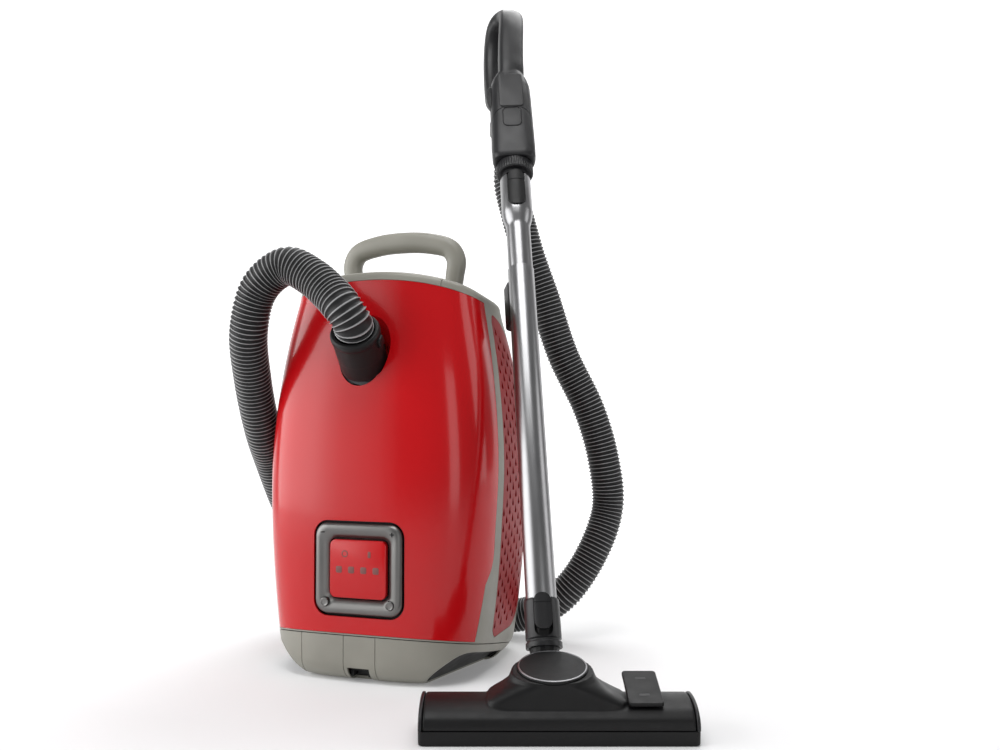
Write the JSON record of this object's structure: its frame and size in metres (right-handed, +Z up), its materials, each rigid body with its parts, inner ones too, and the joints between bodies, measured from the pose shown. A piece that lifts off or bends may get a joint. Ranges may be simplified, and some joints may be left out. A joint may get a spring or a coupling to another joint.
{
  "type": "canister vacuum cleaner",
  "caption": "Canister vacuum cleaner parked upright on its rear end, with ribbed hose, telescopic wand, loop grip and long floor head standing beside it.",
  "frame": {"origin": "middle of the canister's standing face, the flat end it is parked on", "axes": "+Z up, +X to the canister's right, +Y to its caster side; the lid faces -Y"},
  "size_m": [0.6568, 0.5787, 0.9948],
  "materials": {
    "red": "clear gloss",
    "grey": "fine satin",
    "black": "satin",
    "charcoal": "satin",
    "chrome": "drawn, satin",
    "bezel_metal": "satin metallic",
    "hose": "ribbed, satin",
    "inner": "matte",
    "motor": "cast",
    "paper": "fleece",
    "board": "lacquered",
    "bristle": "fibre"
  },
  "bodies": {
    "canister": {"body_shell": "grey", "base": "grey", "arch_liner_left": "black", "arch_liner_right": "black", "parking_socket": "black", "cord_outlet": "black", "grille_left": "red", "grille_right": "red", "carry_handle": "grey", "motor_housing": "inner", "motor": "motor", "motor_filter": "paper", "exhaust_filter": "paper", "bag_holder": "inner", "dust_bag": "paper", "circuit_board": "board", "reel_bracket": "inner", "hose_front": "hose", "hose_rear": "hose"},
    "lid": {"lid": "red", "bezel_tray": "black", "display_panel": "red"},
    "lid_latch": {"lid_latch": "grey"},
    "hose_cuff": {"hose_cuff": "black"},
    "cuff_latch": {"cuff_latch": "black"},
    "bezel_ring": {"bezel_ring": "bezel_metal"},
    "power_button": {"power_button": "bezel_metal"},
    "rewind_button": {"rewind_button": "bezel_metal"},
    "fan_rotor": {"fan_rotor": "motor"},
    "cord_drum": {"cord_drum": "inner"},
    "handle": {"handle_body": "charcoal", "inner_tube": "chrome", "grip_ring": "charcoal"},
    "handle_latch": {"handle_latch": "black"},
    "air_flap": {"air_flap": "charcoal"},
    "trigger": {"trigger": "charcoal"},
    "hose_sleeve": {"hose_sleeve": "black"},
    "outer_tube": {"outer_tube": "chrome", "telescope_bracket": "black", "neck_collar": "black"},
    "telescope_release": {"telescope_release": "black"},
    "collar_latch": {"collar_latch": "black"},
    "neck_yoke": {"neck_yoke": "black"},
    "floor_head": {"head_shell": "black", "sole_plate": "black", "badge": "charcoal", "end_cap_left": "charcoal", "end_cap_right": "charcoal"},
    "pedal": {"pedal": "black"},
    "bristle_strip": {"bristle_strip": "bristle"},
    "roller_left": {"roller_left": "black"},
    "roller_right": {"roller_right": "black"},
    "caster_fork_left": {"caster_fork_left": "black"},
    "caster_wheel_left": {"caster_wheel_left": "black"},
    "caster_fork_right": {"caster_fork_right": "black"},
    "caster_wheel_right": {"caster_wheel_right": "black"},
    "caster_fork_nose": {"caster_fork_nose": "black"},
    "caster_wheel_nose": {"caster_wheel_nose": "black"}
  },
  "joints": [
    {"name": "lid_hinge", "type": "hinge", "parent": "canister", "child": "lid", "pos_m": [0, -0.1144, 0.061], "axis": [1, 0, 0], "range_deg": [0, 75], "deforming": ["hose_front"]},
    {"name": "lid_latch_press", "type": "slide", "parent": "canister", "child": "lid_latch", "axis": [0, 0, -1], "range_m": [0, 0.003], "stiffness_N_per_m": 800},
    {"name": "cuff_swivel", "type": "hinge", "parent": "lid", "child": "hose_cuff", "pos_m": [-0.001, -0.104, 0.4135], "axis": [0.1311, -0.7432, 0.6561], "continuous": true},
    {"name": "cuff_latch_press", "type": "slide", "parent": "hose_cuff", "child": "cuff_latch", "axis": [-0.9896, -0.0588, 0.1311], "range_m": [0, 0.0015], "stiffness_N_per_m": 400},
    {"name": "bezel_rocker", "type": "hinge", "parent": "lid", "child": "bezel_ring", "pos_m": [0, -0.1126, 0.143], "axis": [0, 0, 1], "range_deg": [-1.5, 1.5], "stiffness_Nm_per_rad": 3},
    {"name": "power_button_press", "type": "slide", "parent": "bezel_ring", "child": "power_button", "axis": [0, 1, 0], "range_m": [0, 0.0016], "stiffness_N_per_m": 300},
    {"name": "rewind_button_press", "type": "slide", "parent": "bezel_ring", "child": "rewind_button", "axis": [0, 1, 0], "range_m": [0, 0.0016], "stiffness_N_per_m": 300},
    {"name": "fan_spin", "type": "hinge", "parent": "canister", "child": "fan_rotor", "pos_m": [-0.062, 0.02, 0.165], "axis": [0, 0, 1], "continuous": true},
    {"name": "cord_drum_spin", "type": "hinge", "parent": "canister", "child": "cord_drum", "pos_m": [0.072, 0.02, 0.1], "axis": [0, 0, 1], "continuous": true},
    {"name": "caster_swivel_left", "type": "hinge", "parent": "canister", "child": "caster_fork_left", "pos_m": [-0.098, 0.14, 0.128], "axis": [0, 1, 0], "continuous": true},
    {"name": "caster_roll_left", "type": "hinge", "parent": "caster_fork_left", "child": "caster_wheel_left", "pos_m": [-0.098, 0.163, 0.116], "axis": [1, 0, 0], "continuous": true},
    {"name": "caster_swivel_right", "type": "hinge", "parent": "canister", "child": "caster_fork_right", "pos_m": [0.098, 0.14, 0.128], "axis": [0, 1, 0], "continuous": true},
    {"name": "caster_roll_right", "type": "hinge", "parent": "caster_fork_right", "child": "caster_wheel_right", "pos_m": [0.098, 0.163, 0.116], "axis": [1, 0, 0], "continuous": true},
    {"name": "caster_swivel_nose", "type": "hinge", "parent": "canister", "child": "caster_fork_nose", "pos_m": [0, 0.13532, 0.392], "axis": [0, 1, 0], "continuous": true},
    {"name": "caster_roll_nose", "type": "hinge", "parent": "caster_fork_nose", "child": "caster_wheel_nose", "pos_m": [0, 0.15832, 0.38], "axis": [1, 0, 0], "continuous": true},
    {"name": "tool_lift", "type": "slide", "parent": "canister", "child": "handle", "axis": [0, 0, 1], "range_m": [0, 0.15], "deforming": ["hose_rear"]},
    {"name": "tube_telescope", "type": "slide", "parent": "handle", "child": "outer_tube", "axis": [0.1715, -0.3915, -0.9041], "range_m": [-0.06, 0.2]},
    {"name": "telescope_release_slide", "type": "slide", "parent": "outer_tube", "child": "telescope_release", "axis": [-0.1715, 0.3915, 0.9041], "range_m": [0, 0.006], "stiffness_N_per_m": 300},
    {"name": "collar_latch_press", "type": "slide", "parent": "outer_tube", "child": "collar_latch", "axis": [-0.2796, 0.8606, -0.4257], "range_m": [0, 0.0011], "stiffness_N_per_m": 400},
    {"name": "neck_swivel", "type": "hinge", "parent": "outer_tube", "child": "neck_yoke", "pos_m": [0.2611, -0.1733, 0.0467], "axis": [-0.1715, 0.3915, 0.9041], "range_deg": [-75, 75]},
    {"name": "head_tilt", "type": "hinge", "parent": "neck_yoke", "child": "floor_head", "pos_m": [0.2611, -0.1733, 0.0467], "axis": [0.9511, 0.309, 0], "range_deg": [0, 60]},
    {"name": "pedal_rock", "type": "hinge", "parent": "floor_head", "child": "pedal", "pos_m": [0.37043, -0.18458, 0.041], "axis": [0.9511, 0.309, 0], "range_deg": [-16, 0]},
    {"name": "bristle_slide", "type": "slide", "parent": "floor_head", "child": "bristle_strip", "axis": [0, 0, -1], "range_m": [0, 0.0045]},
    {"name": "roller_left_spin", "type": "hinge", "parent": "floor_head", "child": "roller_left", "pos_m": [0.17119, -0.22828, 0.0064], "axis": [0.9511, 0.309, 0], "continuous": true},
    {"name": "roller_right_spin", "type": "hinge", "parent": "floor_head", "child": "roller_right", "pos_m": [0.38422, -0.15906, 0.0064], "axis": [0.9511, 0.309, 0], "continuous": true},
    {"name": "handle_latch_press", "type": "slide", "parent": "handle", "child": "handle_latch", "axis": [-0.2796, 0.8606, -0.4257], "range_m": [0, 0.002], "stiffness_N_per_m": 400},
    {"name": "air_flap_open", "type": "hinge", "parent": "handle", "child": "air_flap", "pos_m": [0.13617, 0.10563, 0.7589], "axis": [0.9447, 0.3258, 0.0381], "range_deg": [0, 25]},
    {"name": "trigger_press", "type": "slide", "parent": "handle", "child": "trigger", "axis": [0.9447, 0.3258, 0.0381], "range_m": [0, 0.003], "stiffness_N_per_m": 400},
    {"name": "hose_sleeve_swivel", "type": "hinge", "parent": "handle", "child": "hose_sleeve", "pos_m": [0.1167, 0.15205, 0.77659], "axis": [0.0192, -0.0001, -0.9998], "continuous": true}
  ],
  "couplings": [
    {"joint": "bristle_slide", "follows": "pedal_rock", "m_per_rad": -0.0161}
  ]
}
